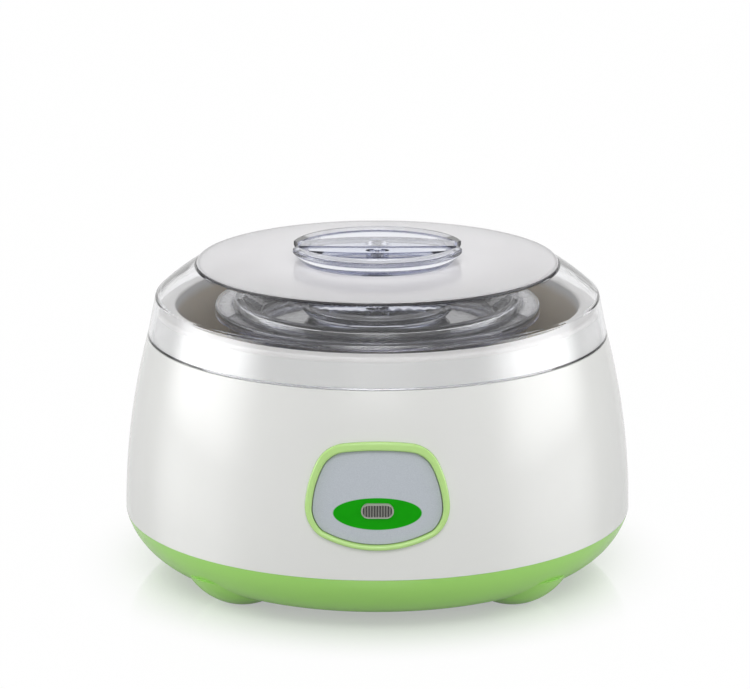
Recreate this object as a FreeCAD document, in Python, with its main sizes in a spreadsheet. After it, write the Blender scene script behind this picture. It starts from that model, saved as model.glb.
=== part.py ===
# Yogurt maker: a round warming housing with a clear domed lid over a steel pot with a clear lid of its own.
# Millimetres, +Z up, origin on the table under the centre of the housing, control panel facing -Y.
import FreeCAD, Part
import math
import os
import re

import Sketcher
from FreeCAD import Placement, Rotation, Vector

doc = FreeCAD.newDocument("yogurt_maker")
sheet = doc.addObject("Spreadsheet::Sheet", "sizes")

SIZES = {
    # White housing shell: a bowed side wall, a ledge for the lid and a neck inside the lid
    "body_radius": 102.6,
    "widest_height": 21.3,
    "wall_curve": 283.0,
    "base_seam": 24.3,
    "lid_seam": 96.1,
    "shell_wall": 2.5,
    # Well that takes the pot
    "rim_rise": 11.8,
    "rim_width": 6.6,
    "flange_thick": 2.0,
    "well_taper": 10.0,
    "liner_wall": 2.0,
    "well_round": 6.0,
    # Green base cover with its four feet
    "bowl_run": 28.6,
    "base_floor": 4.2,
    "bowl_curve": 27.3,
    "base_wall": 2.5,
    "electrics_room": 17.3,
    "tongue_height": 4.0,
    "tongue_wall": 2.0,
    "tongue_clearance": 0.3,
    "foot_reach": 1.0,
    "foot_count": 4,
    "foot_turn": 45,
    "foot_lift": 0.5,
    "foot_spread": 14.0,
    "foot_rise": 12.3,
    "foot_curve": 26.0,
    "foot_cap": 6.0,
    "sole_margin": 1.5,
    "pad_radius": 7.0,
    "pad_thick": 2.2,
    # Screws that draw the base, the shell and the well together
    "boss_count": 4,
    "boss_turn": 30,
    "boss_radius": 4.5,
    "boss_clearance": 0.5,
    "boss_cap": 3.0,
    "post_height": 7.8,
    "base_screw_radius": 1.75,
    "base_screw_spare": 2.0,
    "base_head_radius": 3.4,
    "base_head_thick": 2.4,
    "head_clearance": 0.4,
    "head_web": 4.0,
    # Heater under the well
    "plate_margin": 21.0,
    "plate_clearance": 0.2,
    "plate_lap": 7.0,
    "plate_flange_thick": 1.5,
    "heater_margin": 4.0,
    "heater_thick": 1.8,
    "clamp_thick": 1.2,
    "clamp_hub": 14.0,
    "clamp_arm_half": 5.5,
    "clamp_count": 3,
    "clamp_turn": 45,
    "clamp_screw_radius": 1.5,
    "clamp_screw_length": 5.0,
    "clamp_head_radius": 3.0,
    "clamp_head_thick": 2.0,
    # Thermal fuse, terminal block and wiring
    "wire_half_pitch": 6.0,
    "fuse_radius": 2.0,
    "fuse_room": 3.0,
    "fuse_length": 10.0,
    "fuse_gap": 0.1,
    "strap_thick": 0.6,
    "strap_width": 5.0,
    "strap_foot": 3.0,
    "block_half_width": 13.0,
    "block_depth": 14.0,
    "block_air": 2.0,
    "block_groove": 1.0,
    "terminal_radius": 1.6,
    "terminal_height": 1.2,
    "wire_radius": 0.8,
    "wire_bend": 3.5,
    "wire_run": 2.0,
    "lamp_wire_bend": 20.0,
    "lamp_wire_half_pitch": 1.5,
    "lamp_wire_side": 9.5,
    # Control panel on the front, set out from the height of its widest place
    "panel_height": 53.3,
    "panel_wide_half": 27.4,
    "panel_top_rise": 23.4,
    "panel_top_inset": 9.9,
    "panel_top_curve": 96.0,
    "panel_shoulder_rise": 16.1,
    "panel_shoulder_inset": 4.4,
    "panel_shoulder_curve": 13.7,
    "panel_shoulder_angle": 28,
    "panel_side_curve": 42.0,
    "panel_foot_drop": 11.9,
    "panel_foot_inset": 5.5,
    "panel_corner_curve": 13.5,
    "panel_foot_curve": 49.6,
    "panel_sweep": 44,
    "bezel_width": 2.6,
    "bezel_drop": 0.7,
    "bezel_proud": 1.4,
    "bezel_round": 0.9,
    "plate_sink": 0.4,
    "plate_thick": 1.6,
    "plate_fit": 0.3,
    # Indicator lens and its lamp
    "lens_drop": 1.85,
    "lens_half_width": 6.2,
    "lens_half_height": 2.85,
    "lens_proud": 0.5,
    "lens_depth": 4.0,
    "lens_fit": 0.05,
    "rib_count": 11,
    "rib_margin": 1.0,
    "rib_edge": 1.0,
    "rib_cut": 0.35,
    "lamp_radius": 2.7,
    "lamp_length": 13.0,
    "lamp_clearance": 0.5,
    "holder_half_width": 13.0,
    "holder_half_height": 5.5,
    "holder_depth": 9.0,
    # Cord inlet at the back
    "gland_height": 40.0,
    "gland_bore": 3.2,
    "gland_neck": 5.0,
    "gland_flange": 7.0,
    "gland_flange_thick": 1.5,
    "gland_sink": 1.3,
    "gland_tail": 3.0,
    "gland_collar": 1.0,
    "gland_fit": 0.05,
    # Clear outer lid, flush with the housing wall at their seam
    "lid_gap": 0.3,
    "lid_wall": 2.2,
    "lid_clearance": 0.6,
    "shoulder_inset": 3.4,
    "shoulder_rise": 16.0,
    "shoulder_round": 2.0,
    "slope_run": 15.8,
    "slope_rise": 11.9,
    "slope_curve": 95.0,
    "disc_step": 1.6,
    "disc_shelf": 0.8,
    # Knob of the outer lid, and the smaller one of the pot lid
    "knob_radius": 34.5,
    "pot_knob_radius": 30.6,
    "knob_fit": 0.1,
    "knob_height": 5.9,
    "knob_taper": 3.5,
    "knob_edge": 1.8,
    "knob_round": 0.5,
    "knob_lip": 8.5,
    "knob_wall": 2.0,
    "well_depth": 3.6,
    "well_margin": 2.8,
    "notch_depth": 2.6,
    "notch_curve": 16.0,
    "bar_half": 9.0,
    "bar_end_half": 4.6,
    "bar_rise": 1.1,
    "bar_end_rise": 0.2,
    "knob_boss": 4.6,
    "knob_screw_radius": 1.75,
    "knob_screw_fit": 0.15,
    "knob_screw_reach": 4.6,
    "knob_screw_head": 4.0,
    "knob_screw_head_thick": 2.0,
    # Steel pot and its clear lid
    "pot_gap": 0.3,
    "pot_room": 10.5,
    "pot_wall": 0.8,
    "pot_round": 8.0,
    "pot_lip": 2.9,
    "pot_rim_thick": 1.8,
    "pot_lid_wall": 1.8,
    "pot_lid_skirt": 3.6,
    "pot_lid_drop": 1.1,
    "pot_lid_fit": 0.3,
    "ridge_inset": 8.0,
    "ridge_rise": 2.8,
    "ridge_width": 3.0,
    "ridge_lean": 1.0,
    "dish_run": 6.5,
    "dish_depth": 6.9,
}


def wall_at(level):
    """Outer radius of the bowed housing wall at a level."""
    return f"(body_radius - wall_curve + sqrt(wall_curve ^ 2 - (({level}) - widest_height) ^ 2))"


# Measures that follow from the driving sizes
FORMULAS = {
    "rim_height": "lid_seam + rim_rise",
    "neck_top": "rim_height - flange_thick",
    "lid_radius": wall_at("lid_seam"),
    "shoulder_radius": "lid_radius - shoulder_inset",
    "shoulder_height": "lid_seam + shoulder_rise",
    "skirt_lean": "shoulder_inset / shoulder_rise",
    "slope_foot": "shoulder_height + slope_rise",
    "slope_radius": "shoulder_radius - slope_run",
    "slope_angle": "atan(slope_rise / slope_run)",
    "disc_radius": "slope_radius - disc_shelf",
    "disc_height": "slope_foot + disc_step",
    "disc_under": "disc_height - lid_wall",
    "neck_foot_radius": "lid_radius - lid_wall - lid_clearance",
    "neck_top_radius": "neck_foot_radius - (neck_top - lid_seam) * skirt_lean",
    "cavity_radius": "neck_top_radius - rim_width",
    "well_radius": "cavity_radius - well_taper",
    "base_inside": "base_floor + base_wall",
    "well_floor": "base_inside + electrics_room",
    "liner_under": "well_floor - liner_wall",
    "plate_opening": "well_radius - plate_margin",
    "plate_flange": "plate_opening + plate_lap",
    "plate_under": "liner_under - plate_flange_thick",
    "heater_radius": "plate_opening - heater_margin",
    "heater_under": "plate_under - heater_thick",
    "clamp_under": "heater_under - clamp_thick",
    "floor_radius": wall_at("base_seam") + " - bowl_run",
    "foot_ring": "floor_radius + foot_reach",
    "foot_sole": "pad_radius + sole_margin",
    "foot_bulge": "foot_sole + foot_spread",
    "foot_bulge_height": "foot_lift + foot_rise",
    "foot_top": "foot_bulge_height + foot_cap",
    "boss_ring": "plate_flange + boss_clearance + boss_radius",
    "boss_meet": "base_floor + post_height",
    "pilot_depth": "well_floor - boss_cap - boss_meet",
    "head_seat": "base_floor + head_web",
    "base_screw_length": "well_floor - boss_cap - base_screw_spare - head_seat",
    "fuse_axis": "heater_under - fuse_radius - fuse_gap",
    "fuse_start": "clamp_hub + fuse_room",
    "block_height": "heater_under - base_inside - terminal_height - block_air",
    "wire_level": "base_inside + block_height / 2",
    "wire_climb": "fuse_axis - wire_level",
    "block_start": "fuse_start + fuse_length + wire_climb * 3 / 2 + wire_run",
    "panel_shoulder_half": "panel_wide_half - panel_shoulder_inset",
    "panel_top_half": "panel_shoulder_half - panel_top_inset",
    "panel_foot_half": "panel_wide_half - panel_foot_inset",
    "panel_top": "panel_height + panel_top_rise",
    "panel_shoulder_height": "panel_height + panel_shoulder_rise",
    "panel_foot_height": "panel_height - panel_foot_drop",
    "lens_height": "panel_height - lens_drop",
    "lens_back": "lens_depth - lens_proud",
    "rib_pitch": "(lens_half_width - rib_margin) * 2 / (rib_count - 1)",
    "rib_half_height": "lens_half_height - rib_edge",
    "pot_radius": "well_radius - pot_room",
    "pot_rim_radius": "pot_radius + pot_lip",
    "pot_floor": "well_floor + pot_gap",
    "pot_lid_radius": "pot_rim_radius + pot_lid_fit + pot_lid_wall",
    "pot_lid_flange": "rim_height - pot_lid_drop",
    "pot_rim": "pot_lid_flange - pot_lid_wall - pot_lid_fit",
    "ridge_radius": "pot_lid_radius - ridge_inset",
    "ridge_top": "pot_lid_flange + ridge_rise",
    "dish_radius": "ridge_radius - ridge_width - dish_run",
    "dish_floor": "pot_lid_flange - dish_depth",
    "dish_under": "dish_floor - pot_lid_wall",
    "dish_lean": "dish_run / (ridge_rise + dish_depth)",
    "knob_foot": "disc_height + knob_fit",
    "pot_knob_foot": "dish_floor + knob_fit",
}

for row, (alias, size) in enumerate(SIZES.items(), start=1):
    sheet.set(f"A{row}", alias)
    sheet.set(f"B{row}", str(size))
    sheet.setAlias(f"B{row}", alias)
doc.recompute()


def formula(text):
    """Writes a measure in terms of the sheet's cells."""
    def swap(match):
        word = match.group()
        if word in FORMULAS:
            return "(" + formula(FORMULAS[word]) + ")"
        return "sizes." + word if word in SIZES else word
    return re.sub(r"[a-z][a-z_]+", swap, text)


def number(text):
    """The present value of a measure."""
    value = sheet.evalExpression(formula(text))
    return float(getattr(value, "Value", value))


def new_body(label):
    body = doc.addObject("PartDesign::Body", label)
    body.Label = label
    body.AllowCompound = True
    return body


def origin_part(body, role):
    return next(part for part in body.Origin.OriginFeatures if part.Role == role)


def new_sketch(body, name, plane, lift=None, turn=None):
    """A sketch on one of the body's own planes, lifted along its normal or turned about the vertical."""
    sketch = body.newObject("Sketcher::SketchObject", f"{body.Label}_{name}")
    sketch.AttachmentSupport = (origin_part(body, plane), [""])
    sketch.MapMode = "FlatFace"
    if turn:
        upright = Vector(0, 0, 1) if plane == "XY_Plane" else Vector(0, 1, 0)
        sketch.AttachmentOffset = Placement(Vector(), Rotation(upright, number(turn)))
        sketch.setExpression("AttachmentOffset.Rotation.Angle", formula(turn))
    if lift:
        sketch.setExpression("AttachmentOffset.Base.z", formula(lift))
    return sketch


def pin(sketch, shape, point, across, up):
    """Holds a point of the sketch at its measures from the sketch's origin."""
    for kind, text, axis in (("DistanceX", across, -2), ("DistanceY", up, -1)):
        if text == "0":
            sketch.addConstraint(Sketcher.Constraint("PointOnObject", shape, point, axis))
            continue
        index = sketch.addConstraint(Sketcher.Constraint(kind, -1, 1, shape, point, number(text)))
        sketch.setExpression(f"Constraints[{index}]", formula(text))


def arc_between(start, end, radius, side):
    """The shorter arc from start to end, swelling to the left or right of the way between them."""
    chord = end - start
    across = Vector(-chord.y, chord.x, 0).normalize()
    depth = math.sqrt(max(radius ** 2 - chord.Length ** 2 / 4, 0))
    toward = 1 if side == "right" else -1
    centre = (start + end) / 2 + across * depth * toward
    first, last = (start, end) if side == "right" else (end, start)
    angles = [math.atan2(point.y - centre.y, point.x - centre.x) for point in (first, last)]
    if angles[1] < angles[0]:
        angles[1] += 2 * math.pi
    return Part.ArcOfCircle(Part.Circle(centre, Vector(0, 0, 1), radius), angles[0], angles[1])


def draw(sketch, corners, arcs=None):
    """Adds a closed loop through corners; arcs gives the radius and side of the stretches that are round."""
    arcs = arcs or {}
    points = [Vector(number(across), number(up), 0) for across, up in corners]
    ends = []
    for index, start in enumerate(points):
        end = points[(index + 1) % len(points)]
        if index in arcs:
            radius, side = arcs[index]
            shape = sketch.addGeometry(arc_between(start, end, number(radius), side), False)
            ends.append((shape, 1, 2) if side == "right" else (shape, 2, 1))
        else:
            shape = sketch.addGeometry(Part.LineSegment(start, end), False)
            ends.append((shape, 1, 2))
    for index, (shape, first, last) in enumerate(ends):
        following, start, _ = ends[(index + 1) % len(ends)]
        sketch.addConstraint(Sketcher.Constraint("Coincident", shape, last, following, start))
    for index, (shape, first, last) in enumerate(ends):
        pin(sketch, shape, first, *corners[index])
        if index in arcs:
            radius = arcs[index][0]
            held = sketch.addConstraint(Sketcher.Constraint("Radius", shape, number(radius)))
            sketch.setExpression(f"Constraints[{held}]", formula(radius))


def draw_circle(sketch, across, up, radius):
    centre = Vector(number(across), number(up), 0)
    shape = sketch.addGeometry(Part.Circle(centre, Vector(0, 0, 1), number(radius)), False)
    pin(sketch, shape, 3, across, up)
    held = sketch.addConstraint(Sketcher.Constraint("Radius", shape, number(radius)))
    sketch.setExpression(f"Constraints[{held}]", formula(radius))


def draw_box(sketch, left, right, low, high):
    draw(sketch, [(left, low), (right, low), (right, high), (left, high)])


def draw_axis(sketch, start, end):
    """A construction line that a profile away from the origin turns about."""
    points = [Vector(number(across), number(up), 0) for across, up in (start, end)]
    shape = sketch.addGeometry(Part.LineSegment(*points), True)
    pin(sketch, shape, 1, *start)
    pin(sketch, shape, 2, *end)


def turn_profile(body, sketch, name, cut=False, axis="V_Axis", sweep=None):
    kind = "PartDesign::Groove" if cut else "PartDesign::Revolution"
    feature = body.newObject(kind, f"{body.Label}_{name}")
    feature.Profile = sketch
    feature.ReferenceAxis = (sketch, [axis])
    feature.Angle = 360
    if sweep:
        feature.Midplane = True
        feature.setExpression("Angle", formula(sweep))
    return feature


def pad(body, sketch, name, length, both_ways=False, back=False):
    feature = body.newObject("PartDesign::Pad", f"{body.Label}_{name}")
    feature.Profile = sketch
    feature.Midplane = both_ways
    feature.Reversed = back
    feature.setExpression("Length", formula(length))
    return feature


def pocket(body, sketch, name, length=None, both_ways=False, back=False):
    """Cuts a sketch into the body, right through where no length is given, and makes sure that it cuts."""
    doc.recompute()
    before = body.Shape.Volume
    feature = body.newObject("PartDesign::Pocket", f"{body.Label}_{name}")
    feature.Profile = sketch
    feature.Midplane = both_ways
    feature.Reversed = back
    if length:
        feature.setExpression("Length", formula(length))
    else:
        feature.Type = "ThroughAll"
    doc.recompute()
    if not body.Shape.Volume < before:
        raise RuntimeError(f"{feature.Name} cuts nothing")
    return feature


def ring_of(body, feature, name, count):
    """Repeats a feature evenly round the vertical axis."""
    pattern = body.newObject("PartDesign::PolarPattern", f"{body.Label}_{name}")
    pattern.Originals = [feature]
    pattern.Axis = (origin_part(body, "Z_Axis"), [""])
    pattern.Angle = 360
    pattern.setExpression("Occurrences", formula(count))
    body.Tip = pattern
    return pattern


def round_rings(body, name, radius, rings):
    """Rounds the circular edges of a turned piece, each given by its radius and level."""
    doc.recompute()
    base = body.Tip
    found = []
    for index, edge in enumerate(base.Shape.Edges, start=1):
        if not isinstance(edge.Curve, Part.Circle):
            continue
        for ring, level in rings:
            near = abs(edge.Curve.Radius - number(ring)) < 0.001
            if near and abs(edge.Curve.Center.z - number(level)) < 0.001:
                found.append(f"Edge{index}")
    if not found:
        raise RuntimeError(f"{body.Label} has no edge for {name}")
    fillet = body.newObject("PartDesign::Fillet", f"{body.Label}_{name}")
    fillet.Base = (base, found)
    fillet.setExpression("Radius", formula(radius))
    return fillet


def screw_profile(sketch, ring, head_level, seat, tip, head_radius, shank_radius):
    """Half of a pan-head screw whose head is below its shank."""
    inset = f"{shank_radius} / 2"
    draw(sketch, [
        (ring, head_level),
        (f"{ring} + {head_radius} - {inset}", head_level),
        (f"{ring} + {head_radius}", f"{head_level} + {inset}"),
        (f"{ring} + {head_radius}", seat),
        (f"{ring} + {shank_radius}", seat),
        (f"{ring} + {shank_radius}", f"{tip} - {shank_radius}"),
        (ring, tip),
    ])


def make_housing_shell():
    body = new_body("housing_shell")
    profile = new_sketch(body, "profile", "XZ_Plane")
    under_ledge = "lid_seam - shell_wall"
    draw(profile, [
        (wall_at("base_seam"), "base_seam"),
        (wall_at("lid_seam"), "lid_seam"),
        ("neck_foot_radius", "lid_seam"),
        ("neck_top_radius", "neck_top"),
        ("neck_top_radius - shell_wall", "neck_top"),
        ("neck_foot_radius - shell_wall", under_ledge),
        (wall_at(under_ledge) + " - shell_wall", under_ledge),
        (wall_at("base_seam") + " - shell_wall", "base_seam"),
    ], {0: ("wall_curve", "right"), 6: ("wall_curve - shell_wall", "left")})
    turn_profile(body, profile, "turn")
    window = new_sketch(body, "window", "XZ_Plane")
    draw_panel(window, "0")
    pocket(body, window, "panel_window", back=True)
    hole = new_sketch(body, "cord_hole", "XZ_Plane")
    draw_circle(hole, "0", "gland_height", "gland_neck + gland_fit")
    pocket(body, hole, "cord_opening")
    recess = new_sketch(body, "gland_recess", "XZ_Plane", lift="-(" + gland_seat() + ")")
    draw_circle(recess, "0", "gland_height", "gland_flange + plate_clearance")
    pocket(body, recess, "gland_seat")
    return body


def gland_seat():
    """Distance behind the centre of the flat that the cord inlet's flange sits on."""
    return wall_at("gland_height") + " - gland_sink"


def draw_panel(sketch, inset, drop="0"):
    """The shield-shaped panel outline, drawn in from its edge by an inset and set down by a drop."""
    top_lean = "(panel_top_half / panel_top_curve)"
    foot_lean = "(panel_foot_half / panel_foot_curve)"
    right = [
        (f"panel_top_half - ({inset}) * {top_lean}",
         f"panel_top - ({inset}) * sqrt(1 - {top_lean} ^ 2) - {drop}"),
        (f"panel_shoulder_half - ({inset}) * cos(panel_shoulder_angle)",
         f"panel_shoulder_height - ({inset}) * sin(panel_shoulder_angle) - {drop}"),
        (f"panel_wide_half - ({inset})", f"panel_height - {drop}"),
        (f"panel_foot_half - ({inset}) * {foot_lean}",
         f"panel_foot_height + ({inset}) * sqrt(1 - {foot_lean} ^ 2) - {drop}"),
    ]
    left = [(f"-({across})", up) for across, up in reversed(right)]
    shoulder = (f"panel_shoulder_curve - ({inset})", "left")
    side = (f"panel_side_curve - ({inset})", "left")
    corner = (f"panel_corner_curve - ({inset})", "left")
    draw(sketch, right + left, {
        0: shoulder, 1: side, 2: corner, 3: (f"panel_foot_curve - ({inset})", "left"),
        4: corner, 5: side, 6: shoulder, 7: (f"panel_top_curve - ({inset})", "left"),
    })


def panel_band(body, inner, outer):
    """A curved sheet of the housing's own form, between two depths measured out from its surface."""
    low = "panel_foot_height - panel_foot_half / 2"
    high = "panel_top + bezel_width"
    band = new_sketch(body, "band", "YZ_Plane")
    draw(band, [
        (f"-({wall_at(low)} + {outer})", low),
        (f"-({wall_at(low)} + {inner})", low),
        (f"-({wall_at(high)} + {inner})", high),
        (f"-({wall_at(high)} + {outer})", high),
    ], {1: (f"wall_curve + {inner}", "left"), 3: (f"wall_curve + {outer}", "right")})
    turn_profile(body, band, "bend", sweep="panel_sweep")


def trim_to_panel(body, inset, drop="0"):
    """Cuts away everything outside the panel outline."""
    outside = new_sketch(body, "outside", "XZ_Plane")
    draw_panel(outside, inset, drop)
    draw_box(outside, "-panel_wide_half * 2", "panel_wide_half * 2",
             "panel_foot_height - panel_foot_half", "panel_top + bezel_width * 2")
    pocket(body, outside, "trim", back=True)


def make_panel_bezel():
    body = new_body("panel_bezel")
    panel_band(body, "(-shell_wall)", "bezel_proud")
    trim_to_panel(body, "0")
    opening = new_sketch(body, "opening", "XZ_Plane")
    draw_panel(opening, "bezel_width", "bezel_drop")
    pocket(body, opening, "hollow", back=True)
    round_front(body)
    return body


def round_front(body):
    """Rounds the inner and outer edges of the bezel's raised face."""
    doc.recompute()
    base = body.Tip
    proud = number("bezel_proud")
    front = []
    for index, edge in enumerate(base.Shape.Edges, start=1):
        middle = edge.valueAt((edge.FirstParameter + edge.LastParameter) / 2)
        reach = math.hypot(middle.x, middle.y) - number(wall_at(str(middle.z)))
        if reach > proud / 2:
            front.append(f"Edge{index}")
    fillet = body.newObject("PartDesign::Fillet", f"{body.Label}_front_round")
    fillet.Base = (base, front)
    fillet.setExpression("Radius", formula("bezel_round"))


def make_panel_plate():
    body = new_body("panel_plate")
    panel_band(body, "(-plate_sink - plate_thick)", "(-plate_sink)")
    trim_to_panel(body, "bezel_width + plate_fit", "bezel_drop")
    opening = new_sketch(body, "opening", "XZ_Plane")
    draw_lens(opening, "lens_fit")
    pocket(body, opening, "lens_hole", back=True)
    return body


def draw_lens(sketch, margin):
    """The lens outline, a slot with round ends, drawn out by a margin."""
    straight = "lens_half_width - lens_half_height"
    low = f"lens_height - lens_half_height - {margin}"
    high = f"lens_height + lens_half_height + {margin}"
    tip = f"lens_half_width + {margin}"
    draw(sketch, [
        (f"-({straight})", low), (straight, low), (tip, "lens_height"),
        (straight, high), (f"-({straight})", high), (f"-({tip})", "lens_height"),
    ], {index: (f"lens_half_height + {margin}", "right") for index in (1, 2, 4, 5)})


def make_indicator_lens():
    body = new_body("indicator_lens")
    face = wall_at("lens_height") + " + lens_proud"
    outline = new_sketch(body, "outline", "XZ_Plane", lift=face)
    draw_lens(outline, "0")
    pad(body, outline, "slab", "lens_depth", back=True)
    groove = new_sketch(body, "groove", "XZ_Plane", lift=face)
    first = "-(rib_count - 1) / 2 * rib_pitch"
    draw_box(groove, f"{first} - rib_pitch / 4", f"{first} + rib_pitch / 4",
             "lens_height - rib_half_height", "lens_height + rib_half_height")
    cut = pocket(body, groove, "rib_groove", "rib_cut")
    ribs = body.newObject("PartDesign::LinearPattern", "indicator_lens_ribs")
    ribs.Originals = [cut]
    ribs.Direction = (origin_part(body, "X_Axis"), [""])
    ribs.setExpression("Length", formula("(rib_count - 1) * rib_pitch"))
    ribs.setExpression("Occurrences", formula("rib_count"))
    body.Tip = ribs
    return body


def holder_front():
    """Distance in front of the centre of the lamp holder's face, just clear of the bowed plate."""
    top = "lens_height + holder_half_height"
    inside = f"({wall_at(top)} - plate_sink - plate_thick)"
    return f"(sqrt({inside} ^ 2 - holder_half_width ^ 2) - plate_clearance / 2)"


def lamp_axis():
    """Distance in front of the centre of the lamp's own axis."""
    return f"({wall_at('lens_height')} - lens_back - lamp_clearance - lamp_radius)"


def make_lamp_holder():
    body = new_body("lamp_holder")
    face = new_sketch(body, "face", "XZ_Plane", lift=holder_front())
    draw_box(face, "-holder_half_width", "holder_half_width",
             "lens_height - holder_half_height", "lens_height + holder_half_height")
    pad(body, face, "block", "holder_depth", back=True)
    room = new_sketch(body, "room", "XZ_Plane", lift=holder_front())
    reach = "lamp_length / 2 + lamp_clearance"
    tall = "lens_half_height + lamp_clearance"
    draw_box(room, f"-({reach})", reach, f"lens_height - ({tall})", f"lens_height + ({tall})")
    pocket(body, room, "lamp_room",
           f"{holder_front()} - {lamp_axis()} + lamp_radius + lamp_clearance / 2")
    return body


def make_indicator_lamp():
    body = new_body("indicator_lamp")
    profile = new_sketch(body, "profile", "XZ_Plane", lift=lamp_axis())
    middle = "lens_height"
    draw_axis(profile, ("-lamp_length", middle), ("lamp_length", middle))
    end = "lamp_length / 2"
    draw(profile, [
        (f"-{end}", middle), (end, middle),
        (f"{end} - lamp_radius", f"{middle} + lamp_radius"), (f"-{end}", f"{middle} + lamp_radius"),
    ], {1: ("lamp_radius", "right")})
    turn_profile(body, profile, "glass", axis="Axis0")
    return body


def make_cord_gland():
    """A round bush in the back wall: flange outside, collar inside, open bore for the cord."""
    body = new_body("cord_gland")
    profile = new_sketch(body, "profile", "YZ_Plane")
    seat = gland_seat()
    outer = f"{seat} + gland_flange_thick"
    inner = f"{seat} - shell_wall - gland_tail"
    collar = f"{seat} - shell_wall"
    draw_axis(profile, ("0", "gland_height"), ("body_radius", "gland_height"))
    draw(profile, [
        (outer, "gland_height + gland_bore"),
        (outer, "gland_height + gland_flange - gland_collar"),
        (f"{outer} - gland_collar", "gland_height + gland_flange"),
        (seat, "gland_height + gland_flange"),
        (seat, "gland_height + gland_neck"),
        (collar, "gland_height + gland_neck"),
        (collar, "gland_height + gland_neck + gland_collar"),
        (inner, "gland_height + gland_neck"),
        (inner, "gland_height + gland_bore"),
    ])
    turn_profile(body, profile, "bush", axis="Axis0")
    return body


def make_inner_liner():
    body = new_body("inner_liner")
    profile = new_sketch(body, "profile", "XZ_Plane")
    draw(profile, [
        ("neck_top_radius", "neck_top"),
        ("neck_top_radius", "rim_height"),
        ("cavity_radius", "rim_height"),
        ("well_radius", "well_floor"),
        ("plate_opening", "well_floor"),
        ("plate_opening", "liner_under"),
        ("well_radius + liner_wall", "liner_under"),
        ("cavity_radius + liner_wall", "neck_top"),
    ])
    turn_profile(body, profile, "turn")
    round_rings(body, "well_corner", "well_round", [("well_radius", "well_floor")])
    round_rings(body, "well_back", "well_round + liner_wall", [("well_radius + liner_wall", "liner_under")])
    round_rings(body, "rim_edges", "flange_thick / 2",
                [("cavity_radius", "rim_height"), ("neck_top_radius", "rim_height")])
    hang_bosses(body, "base_boss", "boss_radius", "boss_meet", "boss_count", "boss_turn",
                "base_screw_radius", "pilot_depth")
    hang_bosses(body, "clamp_boss", "boss_radius", "heater_under", "clamp_count", "clamp_turn",
                "clamp_screw_radius", "clamp_screw_length - clamp_thick")
    return body


def hang_bosses(body, name, radius, bottom, count, turn, pilot, depth):
    """Round screw bosses under the well, each with its pilot hole."""
    foot = new_sketch(body, name, "XY_Plane", lift=bottom, turn=turn)
    draw_circle(foot, "boss_ring", "0", radius)
    post = pad(body, foot, name + "_post", f"well_floor - liner_wall / 2 - ({bottom})")
    doc.recompute()
    ring_of(body, post, name + "_ring", count)
    hole = new_sketch(body, name + "_pilot", "XY_Plane", lift=bottom, turn=turn)
    draw_circle(hole, "boss_ring", "0", pilot)
    drill = pocket(body, hole, name + "_drill", depth, back=True)
    ring_of(body, drill, name + "_drills", count)


def make_base_cover():
    body = new_body("base_cover")
    seam = wall_at("base_seam")
    bowl = new_sketch(body, "bowl", "XZ_Plane")
    draw(bowl, [
        ("0", "base_floor"), ("floor_radius", "base_floor"), (seam, "base_seam"), ("0", "base_seam"),
    ], {1: ("bowl_curve", "right")})
    turn_profile(body, bowl, "turn")
    foot = new_sketch(body, "foot", "XZ_Plane", turn="foot_turn")
    draw_axis(foot, ("foot_ring", "foot_lift"), ("foot_ring", "foot_top"))
    draw(foot, [
        ("foot_ring", "foot_lift"),
        ("foot_ring + foot_sole", "foot_lift"),
        ("foot_ring + foot_bulge", "foot_bulge_height"),
        ("foot_ring", "foot_top"),
    ], {1: ("foot_curve", "right")})
    lobe = turn_profile(body, foot, "foot_lobe", axis="Axis0")
    doc.recompute()
    ring_of(body, lobe, "feet", "foot_count")
    room = new_sketch(body, "room", "XZ_Plane")
    draw(room, [
        ("0", "base_inside"), ("floor_radius", "base_inside"),
        (f"{seam} - base_wall", "base_seam"), ("0", "base_seam"),
    ], {1: ("bowl_curve - base_wall", "right")})
    turn_profile(body, room, "hollow", cut=True)
    tongue = new_sketch(body, "tongue", "XZ_Plane")
    outside = f"{seam} - shell_wall - tongue_clearance"
    draw_box(tongue, f"{outside} - tongue_wall", outside,
             "base_seam - tongue_height", "base_seam + tongue_height")
    turn_profile(body, tongue, "locating_tongue")
    post = new_sketch(body, "post", "XY_Plane", lift="base_floor", turn="boss_turn")
    draw_circle(post, "boss_ring", "0", "boss_radius")
    stand = pad(body, post, "screw_post", "boss_meet - base_floor")
    doc.recompute()
    ring_of(body, stand, "screw_posts", "boss_count")
    for name, radius, depth in (("screw_hole", "base_screw_radius", "boss_meet - base_floor"),
                                ("head_recess", "base_head_radius + head_clearance", "head_web")):
        hole = new_sketch(body, name + "_circle", "XY_Plane", lift="base_floor", turn="boss_turn")
        draw_circle(hole, "boss_ring", "0", radius)
        drill = pocket(body, hole, name, depth, back=True)
        ring_of(body, drill, name + "s", "boss_count")
    sole = new_sketch(body, "pad_circle", "XY_Plane", lift="foot_lift", turn="foot_turn")
    draw_circle(sole, "foot_ring", "0", "pad_radius")
    seat = pocket(body, sole, "pad_seat", "pad_thick - foot_lift", back=True)
    ring_of(body, seat, "pad_seats", "foot_count")
    return body


def make_foot_pads():
    body = new_body("foot_pads")
    profile = new_sketch(body, "profile", "XZ_Plane", turn="foot_turn")
    draw_axis(profile, ("foot_ring", "0"), ("foot_ring", "pad_thick"))
    edge = "foot_lift / 2"
    draw(profile, [
        ("foot_ring", "0"), (f"foot_ring + pad_radius - {edge}", "0"),
        ("foot_ring + pad_radius", edge), ("foot_ring + pad_radius", "pad_thick"),
        ("foot_ring", "pad_thick"),
    ])
    button = turn_profile(body, profile, "button", axis="Axis0")
    doc.recompute()
    ring_of(body, button, "buttons", "foot_count")
    return body


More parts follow.
